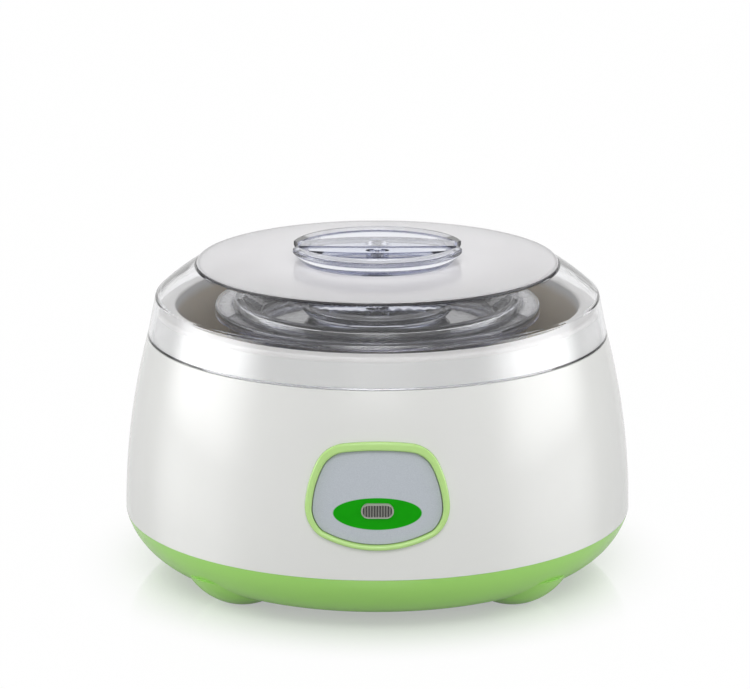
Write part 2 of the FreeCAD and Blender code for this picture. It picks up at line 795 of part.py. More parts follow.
def make_screws(label, count, turn, seat, length, head_radius, head_thick, shank_radius):
    """A ring of screws on the boss circle, driven from below."""
    body = new_body(label)
    profile = new_sketch(body, "profile", "XZ_Plane", turn=turn)
    head_level = f"{seat} - {head_thick}"
    draw_axis(profile, ("boss_ring", head_level), ("boss_ring", f"{seat} + {length}"))
    screw_profile(profile, "boss_ring", head_level, seat, f"{seat} + {length}", head_radius, shank_radius)
    screw = turn_profile(body, profile, "screw", axis="Axis0")
    doc.recompute()
    ring_of(body, screw, "ring", count)
    return body


def make_heater_plate():
    """The metal floor of the well: a flange under the liner and a boss that fills its opening."""
    body = new_body("heater_plate")
    profile = new_sketch(body, "profile", "XZ_Plane")
    draw(profile, [
        ("0", "plate_under"), ("plate_flange", "plate_under"), ("plate_flange", "liner_under"),
        ("plate_opening - plate_clearance", "liner_under"),
        ("plate_opening - plate_clearance", "well_floor"), ("0", "well_floor"),
    ])
    turn_profile(body, profile, "turn")
    return body


def make_heater_pad():
    disc = doc.addObject("Part::Cylinder", "heater_pad")
    disc.Label = "heater_pad"
    disc.setExpression("Radius", formula("heater_radius"))
    disc.setExpression("Height", formula("heater_thick"))
    disc.setExpression("Placement.Base.z", formula("heater_under"))
    return disc


def make_heater_clamp():
    """A three-armed spring plate that presses the heater up against its plate."""
    body = new_body("heater_clamp")
    hub = new_sketch(body, "hub", "XY_Plane", lift="clamp_under")
    draw_circle(hub, "0", "0", "clamp_hub")
    pad(body, hub, "hub_plate", "clamp_thick")
    arm = new_sketch(body, "arm", "XY_Plane", lift="clamp_under", turn="clamp_turn")
    draw(arm, [
        ("clamp_hub / 2", "-clamp_arm_half"), ("boss_ring", "-clamp_arm_half"),
        ("boss_ring + clamp_arm_half", "0"), ("boss_ring", "clamp_arm_half"),
        ("clamp_hub / 2", "clamp_arm_half"),
    ], {1: ("clamp_arm_half", "right"), 2: ("clamp_arm_half", "right")})
    limb = pad(body, arm, "arm_plate", "clamp_thick")
    doc.recompute()
    ring_of(body, limb, "arms", "clamp_count")
    hole = new_sketch(body, "hole", "XY_Plane", lift="clamp_under", turn="clamp_turn")
    draw_circle(hole, "boss_ring", "0", "clamp_screw_radius")
    drill = pocket(body, hole, "drill", "clamp_thick", back=True)
    ring_of(body, drill, "drills", "clamp_count")
    return body


def make_thermal_fuse():
    """A can-shaped fuse lying along Y against the heater, beside the clamp's hub."""
    body = new_body("thermal_fuse")
    profile = new_sketch(body, "profile", "YZ_Plane", lift="-wire_half_pitch")
    end = "fuse_start + fuse_length"
    draw_axis(profile, ("fuse_start", "fuse_axis"), (end, "fuse_axis"))
    draw(profile, [
        ("fuse_start", "fuse_axis"), (end, "fuse_axis"), (end, "fuse_axis + fuse_radius"),
        ("fuse_start + fuse_radius", "fuse_axis + fuse_radius"), ("fuse_start", "fuse_axis + wire_radius"),
    ])
    turn_profile(body, profile, "can", axis="Axis0")
    return body


def make_fuse_clip():
    """A bent strap round the fuse with a foot on either side against the heater."""
    body = new_body("fuse_clip")
    middle = "fuse_start + fuse_length / 2"
    loop = new_sketch(body, "loop", "XZ_Plane", lift=f"-({middle})")
    inner = "fuse_radius + fuse_gap"
    outer = f"{inner} + strap_thick"
    side = "-wire_half_pitch"
    shelf = "heater_under - strap_thick"
    draw(loop, [
        (f"{side} - ({outer}) - strap_foot", shelf), (f"{side} - ({outer})", shelf),
        (f"{side} - ({outer})", "fuse_axis"), (side, f"fuse_axis - ({outer})"),
        (f"{side} + {outer}", "fuse_axis"),
        (f"{side} + {outer}", shelf), (f"{side} + {outer} + strap_foot", shelf),
        (f"{side} + {outer} + strap_foot", "heater_under"), (f"{side} + {inner}", "heater_under"),
        (f"{side} + {inner}", "fuse_axis"), (side, f"fuse_axis - ({inner})"),
        (f"{side} - ({inner})", "fuse_axis"),
        (f"{side} - ({inner})", "heater_under"), (f"{side} - ({outer}) - strap_foot", "heater_under"),
    ], {2: (outer, "right"), 3: (outer, "right"), 9: (inner, "left"), 10: (inner, "left")})
    pad(body, loop, "strap", "strap_width", both_ways=True)
    return body


def make_terminal_block():
    """A two-way screw terminal standing on the base, with a parting groove between its ways."""
    body = new_body("terminal_block")
    plan = new_sketch(body, "plan", "XY_Plane", lift="base_inside")
    draw_box(plan, "-block_half_width", "block_half_width", "block_start", "block_start + block_depth")
    pad(body, plan, "block", "block_height")
    groove = new_sketch(body, "groove", "XY_Plane", lift="base_inside + block_height")
    draw_box(groove, "-block_groove", "block_groove", "block_start", "block_start + block_depth")
    pocket(body, groove, "parting", "block_height / 2")
    return body


def make_terminal_screws():
    body = new_body("terminal_screws")
    plan = new_sketch(body, "plan", "XY_Plane", lift="base_inside + block_height")
    for side in ("-wire_half_pitch", "wire_half_pitch"):
        for share in ("1 / 4", "3 / 4"):
            draw_circle(plan, side, f"block_start + block_depth * {share}", "terminal_radius")
    pad(body, plan, "heads", "terminal_height")
    return body


def wire_feature(body, name, side, route, bends):
    """A round wire in the upright plane x = side: straight runs with an arc at each bend."""
    path = new_sketch(body, name + "_route", "YZ_Plane", lift=side)
    points = [Vector(number(across), number(up), 0) for across, up in route]
    ends = []
    for index, (start, end) in enumerate(zip(points, points[1:])):
        if index in bends:
            radius, swell = bends[index]
            shape = path.addGeometry(arc_between(start, end, number(radius), swell), False)
            ends.append((shape, 1, 2) if swell == "right" else (shape, 2, 1))
            held = path.addConstraint(Sketcher.Constraint("Radius", shape, number(radius)))
            path.setExpression(f"Constraints[{held}]", formula(radius))
        else:
            shape = path.addGeometry(Part.LineSegment(start, end), False)
            ends.append((shape, 1, 2))
        pin(path, ends[-1][0], ends[-1][1], *route[index])
    for (shape, _, last), (following, start, _) in zip(ends, ends[1:]):
        path.addConstraint(Sketcher.Constraint("Coincident", shape, last, following, start))
    pin(path, ends[-1][0], ends[-1][2], *route[-1])
    section = new_sketch(body, name + "_section", "XZ_Plane", lift=f"-({route[0][0]})")
    draw_circle(section, side, route[0][1], "wire_radius")
    pipe = body.newObject("PartDesign::AdditivePipe", f"{body.Label}_{name}")
    pipe.Profile = section
    pipe.Spine = (path, [f"Edge{index + 1}" for index in range(len(ends))])
    return pipe


def make_heater_leads():
    """Wires from the block to the heater: one straight up to it, one through the fuse."""
    body = new_body("heater_leads")
    start = "block_start"
    rise = "fuse_start + fuse_radius * 2"
    wire_feature(body, "direct", "wire_half_pitch", [
        (start, "wire_level"), (f"{rise} + wire_bend", "wire_level"),
        (rise, "wire_level + wire_bend"), (rise, "heater_under"),
    ], {1: ("wire_bend", "left")})
    end = "fuse_start + fuse_length"
    slide = "wire_climb / 2"
    wire_feature(body, "to_fuse", "-wire_half_pitch", [
        (start, "wire_level"), (f"{end} + {slide} * 3", "wire_level"),
        (f"{end} + {slide} * 2", f"wire_level + {slide}"),
        (f"{end} + {slide}", "fuse_axis"), (end, "fuse_axis"),
    ], {1: (slide, "left"), 2: (slide, "right")})
    drop = "heater_under - fuse_axis"
    wire_feature(body, "from_fuse", "-wire_half_pitch", [
        ("fuse_start", "fuse_axis"), ("fuse_start - wire_radius", "fuse_axis"),
        (f"fuse_start - wire_radius - ({drop})", "heater_under"),
    ], {1: (drop, "left")})
    return body


def make_lamp_leads():
    """Two wires along the base from the block to the underside of the lamp holder."""
    body = new_body("lamp_leads")
    middle = f"-({holder_front()} - holder_depth / 2)"
    level = "base_inside + wire_radius * 2"
    for name, offset in (("left", "-lamp_wire_half_pitch"), ("right", "lamp_wire_half_pitch")):
        side = f"-lamp_wire_side + ({offset})"
        wire_feature(body, name, side, [
            ("block_start", level), (f"{middle} + lamp_wire_bend", level),
            (middle, f"{level} + lamp_wire_bend"), (middle, "lens_height - holder_half_height"),
        ], {1: ("lamp_wire_bend", "left")})
    return body


def make_pot():
    """A deep-drawn steel pot with a flat rolled rim."""
    body = new_body("pot")
    profile = new_sketch(body, "profile", "XZ_Plane")
    draw(profile, [
        ("0", "pot_floor"), ("pot_radius", "pot_floor"), ("pot_radius", "pot_rim - pot_rim_thick"),
        ("pot_rim_radius", "pot_rim - pot_rim_thick"), ("pot_rim_radius", "pot_rim"),
        ("pot_radius - pot_wall", "pot_rim"), ("pot_radius - pot_wall", "pot_floor + pot_wall"),
        ("0", "pot_floor + pot_wall"),
    ])
    turn_profile(body, profile, "turn")
    round_rings(body, "outer_corner", "pot_round", [("pot_radius", "pot_floor")])
    round_rings(body, "inner_corner", "pot_round - pot_wall",
                [("pot_radius - pot_wall", "pot_floor + pot_wall")])
    round_rings(body, "rim_roll", "pot_rim_thick * 0.4",
                [("pot_rim_radius", "pot_rim"), ("pot_rim_radius", "pot_rim - pot_rim_thick")])
    return body


def make_pot_lid():
    """A clear lid with a skirt over the pot's rim, a raised ridge and a sunken middle for its knob."""
    body = new_body("pot_lid")
    profile = new_sketch(body, "profile", "XZ_Plane")
    flange_under = "pot_lid_flange - pot_lid_wall"
    ridge_under = "ridge_top - pot_lid_wall"
    hole = "knob_screw_radius + knob_screw_fit"
    wall_inside = "ridge_radius - ridge_width - dish_lean * pot_lid_wall + pot_lid_wall"
    draw(profile, [
        ("pot_lid_radius", "pot_lid_flange - pot_lid_skirt"),
        ("pot_lid_radius", "pot_lid_flange"),
        ("ridge_radius + ridge_lean", "pot_lid_flange"),
        ("ridge_radius", "ridge_top"),
        ("ridge_radius - ridge_width", "ridge_top"),
        ("dish_radius", "dish_floor"),
        (hole, "dish_floor"),
        (hole, "dish_under"),
        ("dish_radius + pot_lid_wall * (1 - dish_lean)", "dish_under"),
        (wall_inside, ridge_under),
        (f"{wall_inside} + ridge_width / 4", ridge_under),
        ("ridge_radius + ridge_lean - pot_lid_wall", flange_under),
        ("pot_lid_radius - pot_lid_wall", flange_under),
        ("pot_lid_radius - pot_lid_wall", "pot_lid_flange - pot_lid_skirt"),
    ])
    turn_profile(body, profile, "turn")
    round_rings(body, "edges", "pot_lid_wall * 0.45",
                [("pot_lid_radius", "pot_lid_flange"), ("ridge_radius", "ridge_top"),
                 ("ridge_radius - ridge_width", "ridge_top")])
    round_rings(body, "dish_corner", "pot_lid_wall", [("dish_radius", "dish_floor")])
    return body


def make_outer_lid():
    """The clear domed cover: upright skirt, rounded shoulder, sloping cone and a flat disc on top."""
    body = new_body("outer_lid")
    profile = new_sketch(body, "profile", "XZ_Plane")
    bottom = "lid_seam + lid_gap"
    bottom_radius = "lid_radius - lid_gap * skirt_lean"
    shoulder_under = "shoulder_height + lid_wall * (tan(slope_angle) - 1 / cos(slope_angle))"
    hole = "knob_screw_radius + knob_screw_fit"
    draw(profile, [
        (bottom_radius, bottom),
        ("shoulder_radius", "shoulder_height"),
        ("slope_radius", "slope_foot"),
        ("disc_radius", "slope_foot"),
        ("disc_radius", "disc_height"),
        (hole, "disc_height"),
        (hole, "disc_under"),
        ("slope_radius - lid_wall", "disc_under"),
        ("shoulder_radius - lid_wall", shoulder_under),
        (f"{bottom_radius} - lid_wall", bottom),
    ], {1: ("slope_curve", "right"), 7: ("slope_curve", "left")})
    turn_profile(body, profile, "turn")
    round_rings(body, "shoulder", "shoulder_round", [("shoulder_radius", "shoulder_height")])
    round_rings(body, "shoulder_inside", "shoulder_round - lid_wall / 2",
                [("shoulder_radius - lid_wall", shoulder_under)])
    round_rings(body, "disc_edge", "disc_shelf", [("disc_radius", "disc_height")])
    return body


def make_knob(label, radius, foot):
    """A clear moulded knob: a crowned bar between two finger wells, its rim notched at the bar's ends."""
    body = new_body(label)
    top = f"({foot} + knob_height)"
    edge = f"({top} - knob_edge)"
    base = f"({radius} - knob_taper)"
    blank = new_sketch(body, "blank", "XZ_Plane")
    draw(blank, [("0", foot), (base, foot), (radius, edge), (radius, top), ("0", top)])
    turn_profile(body, blank, "turn")
    round_rings(body, "rim", "knob_round", [(radius, top)])
    tip = f"(sqrt(({radius} - well_margin) ^ 2 - bar_end_half ^ 2))"
    swell = "(bar_half - bar_end_half)"
    bow = f"(({tip} ^ 2 + {swell} ^ 2) / (2 * {swell}))"
    plan = new_sketch(body, "bar_plan", "XY_Plane", lift=edge)
    front_left = (f"-{tip}", "-bar_end_half")
    front_right = (tip, "-bar_end_half")
    back_right = (tip, "bar_end_half")
    back_left = (f"-{tip}", "bar_end_half")
    draw(plan, [front_left, front_right, back_right, back_left], {0: (bow, "right"), 2: (bow, "right")})
    pad(body, plan, "bar", "knob_edge + bar_rise")
    crown = new_sketch(body, "crown", "XZ_Plane")
    drop = "(bar_rise - bar_end_rise)"
    shoulder = f"{top} + bar_end_rise"
    above = f"{top} + bar_rise * 2"
    draw(crown, [
        (f"-({radius})", shoulder), (radius, shoulder), (radius, above), (f"-({radius})", above),
    ], {0: (f"(({radius}) ^ 2 + {drop} ^ 2) / (2 * {drop})", "left")})
    pocket(body, crown, "bar_crown", "bar_half * 2", both_ways=True)
    reach = f"({radius} - knob_lip - bar_end_half)"
    sweep = f"(({tip} ^ 2 + {reach} ^ 2) / (2 * {reach}))"
    wells = new_sketch(body, "wells", "XY_Plane", lift=top)
    draw(wells, [front_left, front_right], {0: (sweep, "right"), 1: (bow, "left")})
    draw(wells, [back_right, back_left], {0: (sweep, "right"), 1: (bow, "left")})
    pocket(body, wells, "finger_wells", "well_depth")
    notches = new_sketch(body, "notches", "XY_Plane", lift=foot)
    draw_circle(notches, f"{radius} - notch_depth + notch_curve", "0", "notch_curve")
    draw_circle(notches, f"-({radius} - notch_depth + notch_curve)", "0", "notch_curve")
    pocket(body, notches, "end_notches", "knob_height + bar_rise", back=True)
    hollow = new_sketch(body, "hollow", "XY_Plane", lift=foot)
    inner_end = "(bar_end_half - knob_wall)"
    inner_tip = f"({base} - knob_wall * 2)"
    inner_swell = f"(bar_half - knob_wall - {inner_end})"
    inner_bow = f"(({inner_tip} ^ 2 + {inner_swell} ^ 2) / (2 * {inner_swell}))"
    draw(hollow, [
        (f"-{inner_tip}", f"-{inner_end}"), (inner_tip, f"-{inner_end}"),
        (inner_tip, inner_end), (f"-{inner_tip}", inner_end),
    ], {0: (inner_bow, "right"), 2: (inner_bow, "right")})
    draw_circle(hollow, "0", "0", "knob_boss")
    pocket(body, hollow, "bar_hollow", "knob_height + bar_end_rise - knob_wall", back=True)
    hole = new_sketch(body, "screw_hole", "XY_Plane", lift=foot)
    draw_circle(hole, "0", "0", "knob_screw_radius")
    pocket(body, hole, "pilot", "knob_screw_reach", back=True)
    return body


def make_knob_screw(label, under, foot):
    """The screw that holds a knob, driven up through the middle of its lid."""
    body = new_body(label)
    profile = new_sketch(body, "profile", "XZ_Plane")
    screw_profile(profile, "0", f"{under} - knob_screw_head_thick", under,
                  f"{foot} + knob_screw_reach", "knob_screw_head", "knob_screw_radius")
    turn_profile(body, profile, "screw")
    return body


pieces = [
    make_housing_shell(),
    make_base_cover(),
    make_inner_liner(),
    make_heater_plate(),
    make_heater_pad(),
    make_heater_clamp(),
    make_screws("clamp_screws", "clamp_count", "clamp_turn", "clamp_under", "clamp_screw_length",
                "clamp_head_radius", "clamp_head_thick", "clamp_screw_radius"),
    make_screws("base_screws", "boss_count", "boss_turn", "head_seat", "base_screw_length",
                "base_head_radius", "base_head_thick", "base_screw_radius"),
    make_thermal_fuse(),
    make_fuse_clip(),
    make_terminal_block(),
    make_terminal_screws(),
    make_heater_leads(),
    make_lamp_leads(),
    make_panel_bezel(),
    make_panel_plate(),
    make_indicator_lens(),
    make_lamp_holder(),
    make_indicator_lamp(),
    make_cord_gland(),
    make_foot_pads(),
    make_pot(),
    make_pot_lid(),
    make_knob("pot_lid_knob", "pot_knob_radius", "pot_knob_foot"),
    make_knob_screw("pot_lid_knob_screw", "dish_under", "pot_knob_foot"),
    make_outer_lid(),
    make_knob("lid_knob", "knob_radius", "knob_foot"),
    make_knob_screw("lid_knob_screw", "disc_under", "knob_foot"),
]
doc.recompute()

for item in doc.Objects:
    if "Invalid" in item.State or "Error" in item.State:
        raise RuntimeError(f"{item.Label} failed: {item.State}")
for piece in pieces:
    if piece.Shape.isNull() or not piece.Shape.isValid():
        raise RuntimeError(f"{piece.Label} has no valid shape")

os.makedirs("parts", exist_ok=True)
for piece in pieces:
    piece.Shape.exportStep(f"parts/{piece.Label}.step")
    print(f"{piece.Label}: {len(piece.Shape.Solids)} solid, {piece.Shape.Volume / 1000:.2f} cm3")
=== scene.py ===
import math

import bpy
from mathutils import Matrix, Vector

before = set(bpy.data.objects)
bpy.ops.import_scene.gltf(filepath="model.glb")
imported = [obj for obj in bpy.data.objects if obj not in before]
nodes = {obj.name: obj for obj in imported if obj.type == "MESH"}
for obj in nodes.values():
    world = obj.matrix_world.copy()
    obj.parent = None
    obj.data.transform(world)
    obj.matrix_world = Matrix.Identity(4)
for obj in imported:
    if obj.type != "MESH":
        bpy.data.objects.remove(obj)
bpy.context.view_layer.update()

# Camera, fitted to the photograph's two seams and the lid's edge: its distance, its height over the middle
# of the body and its field of view, shifted as the photograph frames the body low in the picture.
VIEW_DISTANCE = 1.3
VIEW_ELEVATION = math.radians(15.85)
BODY_MIDDLE = Vector((0, 0, 0.0607))
FOCAL_LENGTH = 153.4
SENSOR_WIDTH = 36
SHIFT_RIGHT = -0.0032
SHIFT_UP = 0.0933

# Points that the lamps face: the front ones the middle of the housing, the side ones its lid seam.
HOUSING_POINT = (0, 0, 0.06)
SEAM_POINT = (0, 0, 0.1)

# Printed oval round the indicator window: half sizes and height of its middle.
OVAL_HALF_WIDTH = 0.0168
OVAL_HALF_HEIGHT = 0.0061
OVAL_HEIGHT = 0.0502

# Indicator window: half sizes and height of its middle, the width of its plain edge, how softly that edge
# ends and the pitch of its ribs.
WINDOW_HALF_WIDTH = 0.0062
WINDOW_HALF_HEIGHT = 0.00285
WINDOW_HEIGHT = 0.05145
WINDOW_EDGE = 0.00055
WINDOW_EDGE_FADE = 0.0001
RIB_PITCH = 0.00104

# Heights between which the well's painted shade, a darker tan, gives way to the white of its rim, the pot's
# floor with its painted reflection to its wall with its painted shade, and the lid's clear slope to its
# frosted disc, and the radii between which that frost thins.
WELL_PAINTED_SHADE_TOP = 0.1015
WELL_WHITE_FOOT = 0.1062
POT_FLOOR_TOP = 0.03
POT_WALL_FOOT = 0.05
SLOPE_CLEAR_TOP = 0.12495
DISC_FROST_FOOT = 0.12515
FROST_MIDDLE = 0.03
FROST_OUTSIDE = 0.073

# How far from an edge clear plastic carries painted shade, a darker colour, and how far its faces turn there,
# as a cosine.
LID_EDGE = 0.0004
KNOB_EDGE = 0.0014
POT_LID_EDGE = 0.0018
LAMP_EDGE = 0.0006
EDGE_BEGINS = 0.994
EDGE_FULL = 0.93

# Floor: the radii between which the object's shadow gives way to white.
SHADOW_INSIDE = 0.08
SHADOW_OUTSIDE = 0.128

# Colours of the mouldings, the print, the clear plastic and the metals.
WHITE = (0.80, 0.805, 0.785)
GREEN = (0.40, 0.80, 0.16)
PALE_GREEN = (0.5, 0.78, 0.26)
RIM_WHITE = (0.94, 0.93, 0.91)
# Painted shade: the darker tan given to the well's wall below its rim.
WELL_PAINTED_SHADE = (0.76, 0.63, 0.43)
SILVER_DARK = (0.445, 0.48, 0.525)
SILVER_LIGHT = (0.59, 0.63, 0.675)
PRINT_DARK = (0.003, 0.32, 0.0)
PRINT_LIGHT = (0.006, 0.38, 0.001)
CLEAR = (0.985, 0.985, 0.99)
# Painted shade: the dark colours that the clear plastics take along their edges.
CLEAR_PAINTED_EDGE_SHADE = (0.22, 0.25, 0.37)
DARK_PAINTED_EDGE_SHADE = (0.05, 0.06, 0.15)
CLEAR_DEPTH = (0.4, 0.46, 0.66)
FROST = (0.975, 0.962, 0.985)
RIB_TOP = (0.30, 0.30, 0.27)
# Painted shade: the dark colour of the window's rib grooves.
RIB_GROOVE_PAINTED_SHADE = (0.055, 0.055, 0.048)
WINDOW_EDGE_DARK = (0.50, 0.53, 0.46)
WINDOW_EDGE_LIGHT = (0.58, 0.61, 0.53)
LAMP_GLASS = (0.98, 0.9, 0.85)
# Painted shade: the darker colour along the lamp glass's edges.
LAMP_GLASS_PAINTED_EDGE_SHADE = (0.7, 0.55, 0.5)
# The pot's two steels: the floor's brightness is a painted reflection, the wall's darkness is painted shade.
POT_FLOOR_PAINTED_REFLECTION = (0.74, 0.73, 0.74)
POT_WALL_PAINTED_SHADE = (0.30, 0.29, 0.30)
ALUMINIUM = (0.78, 0.78, 0.79)
SPRING_STEEL = (0.55, 0.55, 0.56)
ZINC = (0.68, 0.68, 0.7)
BRASS = (0.8, 0.62, 0.3)
SILICONE = (0.42, 0.13, 0.05)
INNER_PLASTIC = (0.75, 0.74, 0.71)
WIRE_SHEATH = (0.78, 0.77, 0.74)
GLAND_RUBBER = (0.72, 0.71, 0.68)
FOOT_RUBBER = (0.30, 0.31, 0.30)
FLOOR_UNSEEN = (0.5, 0.5, 0.5)
FLOOR_SEEN = (0.93, 0.93, 0.93)

# Ways that a metal's marks run: none, along X, along Y and up.
TURNED = (1, 1, 1)
ALONG_X = (10, 1, 1)
ALONG_Y = (1, 12, 1)
UPWARD = (1, 1, 12)


def material(name):
    """A new material, its node tree and its shader."""
    made = bpy.data.materials.new(name)
    made.use_nodes = True
    tree = made.node_tree
    return made, tree, tree.nodes["Principled BSDF"]


def add(tree, kind, **values):
    """A node of that kind with its inputs or properties set."""
    node = tree.nodes.new(kind)
    for key, value in values.items():
        if key in node.inputs:
            node.inputs[key].default_value = value
        else:
            setattr(node, key, value)
    return node


def setting(shader, **values):
    """Sets a shader's inputs, named with underscores for spaces."""
    for key, value in values.items():
        shader.inputs[key.replace("_", " ")].default_value = value


def noise(tree, scale, detail=3.0, stretch=(1, 1, 1)):
    """A soft pattern over a piece, stretched where a finish has a direction."""
    coordinates = add(tree, "ShaderNodeTexCoord")
    mapping = add(tree, "ShaderNodeMapping", Scale=stretch)
    tree.links.new(coordinates.outputs["Object"], mapping.inputs["Vector"])
    node = add(tree, "ShaderNodeTexNoise", Scale=scale, Detail=detail)
    tree.links.new(mapping.outputs["Vector"], node.inputs["Vector"])
    return node.outputs["Fac"]


def spread(tree, factor, low, high):
    """Maps a factor from 0 to 1 onto the range low to high."""
    node = add(tree, "ShaderNodeMapRange")
    node.inputs["To Min"].default_value = low
    node.inputs["To Max"].default_value = high
    tree.links.new(factor, node.inputs["Value"])
    return node.outputs["Result"]


def climb(tree, value, foot, top):
    """Rises smoothly from 0 to 1 as a value goes from foot to top."""
    node = add(tree, "ShaderNodeMapRange", interpolation_type="SMOOTHSTEP")
    node.inputs["From Min"].default_value = foot
    node.inputs["From Max"].default_value = top
    tree.links.new(value, node.inputs["Value"])
    return node.outputs["Result"]


def split(tree, vector):
    """A vector's parts, axis by axis."""
    axes = add(tree, "ShaderNodeSeparateXYZ")
    tree.links.new(vector, axes.inputs["Vector"])
    return axes.outputs


def axes_of(tree, source="Object"):
    """Where a point lies on its piece, in metres, or the way a ray leaves, axis by axis."""
    return split(tree, add(tree, "ShaderNodeTexCoord").outputs[source])


def height(tree):
    """How high a point lies on its piece, in metres."""
    return axes_of(tree)["Z"]


def work(tree, operation, first, second=None):
    """The result of a sum on one value or two, each a number or a socket."""
    node = add(tree, "ShaderNodeMath", operation=operation)
    for socket, value in zip(node.inputs, (first, second)):
        if isinstance(value, (int, float)):
            socket.default_value = value
        elif value is not None:
            tree.links.new(value, socket)
    return node.outputs[0]


def length_of(tree, across, upward):
    """The length of a flat vector given by its two parts."""
    joined = add(tree, "ShaderNodeCombineXYZ")
    tree.links.new(across, joined.inputs["X"])
    tree.links.new(upward, joined.inputs["Y"])
    reach = add(tree, "ShaderNodeVectorMath", operation="LENGTH")
    tree.links.new(joined.outputs[0], reach.inputs[0])
    return reach.outputs["Value"]


def blend(tree, factor, first, second):
    """A colour between two coloured sockets."""
    node = add(tree, "ShaderNodeMix", data_type="RGBA")
    tree.links.new(factor, node.inputs["Factor"])
    tree.links.new(first, node.inputs[6])
    tree.links.new(second, node.inputs[7])
    return node.outputs[2]


def shade(tree, factor, dark, light):
    """A colour between two others."""
    node = add(tree, "ShaderNodeMix", data_type="RGBA")
    node.inputs[6].default_value = (*dark, 1)
    node.inputs[7].default_value = (*light, 1)
    tree.links.new(factor, node.inputs["Factor"])
    return node.outputs[2]


def darker(tree, pattern, colour, share):
    """A colour that falls to a share of itself along a pattern."""
    return shade(tree, pattern, tuple(channel * share for channel in colour), colour)


def bump(tree, shader, relief, strength, distance, edge=0.0):
    """A relief on the surface, and edges broken by a small radius where one is given."""
    node = add(tree, "ShaderNodeBump", Strength=strength, Distance=distance)
    tree.links.new(relief, node.inputs["Height"])
    if edge:
        broken = add(tree, "ShaderNodeBevel", samples=4, Radius=edge)
        tree.links.new(broken.outputs["Normal"], node.inputs["Normal"])
    tree.links.new(node.outputs["Normal"], shader.inputs["Normal"])


def drift(tree, colour):
    """A slow drift in tone over a moulding."""
    return darker(tree, noise(tree, scale=28.0, detail=4.0), colour, share=0.955)


def moulded(name, colour, roughness, grain=900.0, coat=0.0, depth=0.02):
    """Injection-moulded plastic: a slow drift in tone, uneven gloss and a fine skin texture."""
    made, tree, shader = material(name)
    tree.links.new(drift(tree, colour), shader.inputs["Base Color"])
    uneven = noise(tree, scale=55.0, detail=5.0)
    gloss = spread(tree, uneven, low=roughness * 0.82, high=roughness * 1.18)
    tree.links.new(gloss, shader.inputs["Roughness"])
    bump(tree, shader, noise(tree, grain, detail=2.0), strength=depth, distance=0.0004, edge=0.0004)
    setting(shader, Coat_Weight=coat, Coat_Roughness=0.06)
    return made


def well_moulding_with_painted_shade(name, rim, inside):
    """The well: white at its rim and the neck, with painted shade as a darker tan down inside."""
    made = moulded(name, rim, roughness=0.35)
    tree = made.node_tree
    shader = tree.nodes["Principled BSDF"]
    # Painted shade: below the rim the well turns to the darker tan.
    whitened = climb(tree, height(tree), foot=WELL_PAINTED_SHADE_TOP, top=WELL_WHITE_FOOT)
    both = blend(tree, whitened, drift(tree, inside), drift(tree, rim))
    tree.links.new(both, shader.inputs["Base Color"])
    setting(shader, Specular_IOR_Level=0.2)
    return made


def edges(tree, radius):
    """One along the sharp edges of a piece, zero on its open faces."""
    rounded = add(tree, "ShaderNodeBevel", samples=6, Radius=radius)
    surface = add(tree, "ShaderNodeNewGeometry")
    agree = add(tree, "ShaderNodeVectorMath", operation="DOT_PRODUCT")
    tree.links.new(rounded.outputs["Normal"], agree.inputs[0])
    tree.links.new(surface.outputs["Normal"], agree.inputs[1])
    return climb(tree, agree.outputs["Value"], foot=EDGE_BEGINS, top=EDGE_FULL)


def clear(name, tint, painted_edge_shade, edge, roughness=0.015, density=0.0):
    """Clear moulded plastic with flow marks and handling haze, painted shade along its edges, and darker
    through its thickness.
    """
    made, tree, shader = material(name)
    # Painted shade: the base colour turns dark along the edges.
    tree.links.new(shade(tree, edges(tree, edge), tint, painted_edge_shade), shader.inputs["Base Color"])
    setting(shader, Transmission_Weight=1.0, IOR=1.49)
    haze = spread(tree, noise(tree, scale=70.0, detail=5.0), low=roughness * 0.5, high=roughness * 1.8)
    tree.links.new(haze, shader.inputs["Roughness"])
    bump(tree, shader, noise(tree, scale=60.0, detail=2.0), strength=0.02, distance=0.0006)
    if density:
        inside = add(tree, "ShaderNodeVolumeAbsorption", Density=density)
        inside.inputs["Color"].default_value = (*CLEAR_DEPTH, 1)
        tree.links.new(inside.outputs["Volume"], tree.nodes["Material Output"].inputs["Volume"])
    return made


def frosted_disc(made, frost):
    """Frosts the flat top of the clear lid, which half hides what is under it, most of all in its middle."""
    tree = made.node_tree
    shader = tree.nodes["Principled BSDF"]
    axes = axes_of(tree)
    on_top = climb(tree, axes["Z"], foot=SLOPE_CLEAR_TOP, top=DISC_FROST_FOOT)
    outward = climb(tree, length_of(tree, axes["X"], axes["Y"]), foot=FROST_MIDDLE, top=FROST_OUTSIDE)
    frosted = work(tree, "MULTIPLY", on_top, spread(tree, outward, low=0.93, high=0.55))
    plain = shader.inputs["Base Color"].links[0].from_socket
    milky = darker(tree, noise(tree, scale=30.0, detail=4.0), frost, share=0.95)
    tree.links.new(blend(tree, on_top, plain, milky), shader.inputs["Base Color"])
    tree.links.new(spread(tree, frosted, low=1.0, high=0.0), shader.inputs["Transmission Weight"])
    clear_gloss = shader.inputs["Roughness"].links[0].from_socket
    gloss = add(tree, "ShaderNodeMix")
    tree.links.new(on_top, gloss.inputs["Factor"])
    tree.links.new(clear_gloss, gloss.inputs["A"])
    satin = spread(tree, noise(tree, scale=40.0, detail=4.0), low=0.14, high=0.22)
    tree.links.new(satin, gloss.inputs["B"])
    tree.links.new(gloss.outputs["Result"], shader.inputs["Roughness"])
    setting(shader, Specular_IOR_Level=0.25)
    return made


def worked(tree, marks, colour):
    """A metal's tone along its fine marks."""
    return darker(tree, marks, colour, share=0.82)


